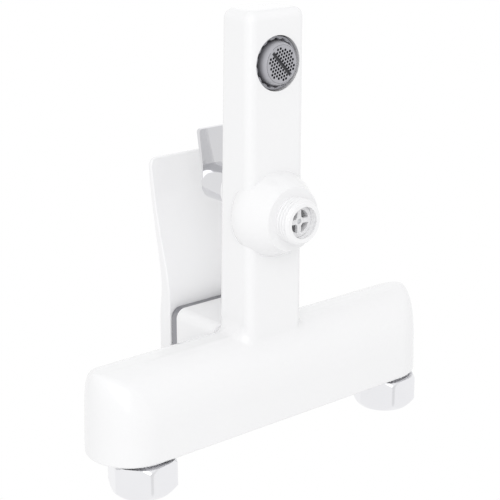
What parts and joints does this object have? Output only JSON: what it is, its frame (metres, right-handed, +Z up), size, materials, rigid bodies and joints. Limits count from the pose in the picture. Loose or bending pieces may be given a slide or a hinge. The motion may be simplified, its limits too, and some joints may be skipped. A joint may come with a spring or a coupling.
{
  "type": "bath shower mixer",
  "caption": "Wall-mounted bath shower mixer: white lacquered T-shaped body and lever, chrome diverter paddle, union nuts, threaded shower outlet and perforated aerator.",
  "frame": {"origin": "midway between the two inlet axes, on the plane of the union nuts' wall-side faces", "axes": "X along the bar from the hot inlet to the cold inlet, +Y into the wall, so the spout points along -Y, +Z up, so the shower outlet points along -Z"},
  "size_m": [0.1916, 0.2066, 0.0881],
  "materials": {
    "white_lacquer": "gloss",
    "chrome_plate": "polished",
    "knob_plate": "polished",
    "nut_plate": "polished",
    "brass": "machined",
    "steel_pin": "machined",
    "steel_screen": "woven",
    "fibre_washer": "matt",
    "black_rubber": "matt",
    "cartridge_plastic": "satin",
    "carrier_plastic": "satin",
    "valve_plastic": "satin",
    "poppet_plastic": "satin",
    "cap_plastic": "gloss",
    "disc_ceramic": "lapped",
    "aerator_plastic": "satin"
  },
  "bodies": {
    "fixed_body": {"mixer_body": "white_lacquer", "trim_ring": "chrome_plate", "shower_nipple": "white_lacquer", "inlet_tail_left": "nut_plate", "inlet_tail_right": "nut_plate", "inlet_washer_left": "fibre_washer", "inlet_washer_right": "fibre_washer", "inlet_strainer_left": "steel_screen", "inlet_strainer_right": "steel_screen", "cartridge_base": "cartridge_plastic", "cartridge_housing": "cartridge_plastic", "base_seals": "black_rubber", "disc_seals": "black_rubber", "fixed_disc": "disc_ceramic", "clamp_nut": "brass", "diverter_bonnet": "brass", "diverter_o_ring": "black_rubber", "nipple_seal": "black_rubber", "check_valve_body": "valve_plastic", "check_spring": "steel_pin", "aerator_shell": "aerator_plastic", "aerator_face": "aerator_plastic", "aerator_core": "valve_plastic", "aerator_screen": "steel_screen", "aerator_washer": "black_rubber"},
    "turret_body": {"turret": "carrier_plastic", "stem_pin": "steel_pin"},
    "lever_body": {"lever": "white_lacquer", "lever_stem": "steel_pin", "lever_screw": "steel_pin", "indicator_cap": "cap_plastic"},
    "disc_body": {"moving_disc": "disc_ceramic", "disc_carrier": "carrier_plastic"},
    "diverter_body": {"diverter_knob": "knob_plate", "diverter_spindle": "brass", "diverter_plug": "carrier_plastic", "knob_screw": "steel_pin"},
    "nut_left_body": {"union_nut_left": "nut_plate"},
    "nut_right_body": {"union_nut_right": "nut_plate"},
    "poppet_body": {"check_poppet": "poppet_plastic"}
  },
  "joints": [
    {"name": "lever_turn", "type": "hinge", "parent": "fixed_body", "child": "turret_body", "pos_m": [0, -0.0375, 0.038], "axis": [0, 0, 1], "range_deg": [-45, 45]},
    {"name": "lever_lift", "type": "hinge", "parent": "turret_body", "child": "lever_body", "pos_m": [0, -0.0375, 0.038], "axis": [-1, 0, 0], "range_deg": [0, 20]},
    {"name": "disc_slide", "type": "slide", "parent": "turret_body", "child": "disc_body", "axis": [0, -1, 0], "range_m": [0, 0.00392]},
    {"name": "diverter_turn", "type": "hinge", "parent": "fixed_body", "child": "diverter_body", "pos_m": [0, -0.121, 0.033], "axis": [0, 0, 1], "range_deg": [0, 90]},
    {"name": "nut_left_spin", "type": "hinge", "parent": "fixed_body", "child": "nut_left_body", "pos_m": [-0.075, -0.008, 0], "axis": [0, 1, 0], "continuous": true},
    {"name": "nut_right_spin", "type": "hinge", "parent": "fixed_body", "child": "nut_right_body", "pos_m": [0.075, -0.008, 0], "axis": [0, 1, 0], "continuous": true},
    {"name": "check_valve_slide", "type": "slide", "parent": "fixed_body", "child": "poppet_body", "axis": [0, 0, -1], "range_m": [0, 0.002], "stiffness_N_per_m": 60, "springref_m": -0.002, "deforming": ["check_spring"]}
  ],
  "couplings": [
    {"joint": "disc_slide", "follows": "lever_lift", "m_per_rad": 0.0112}
  ]
}
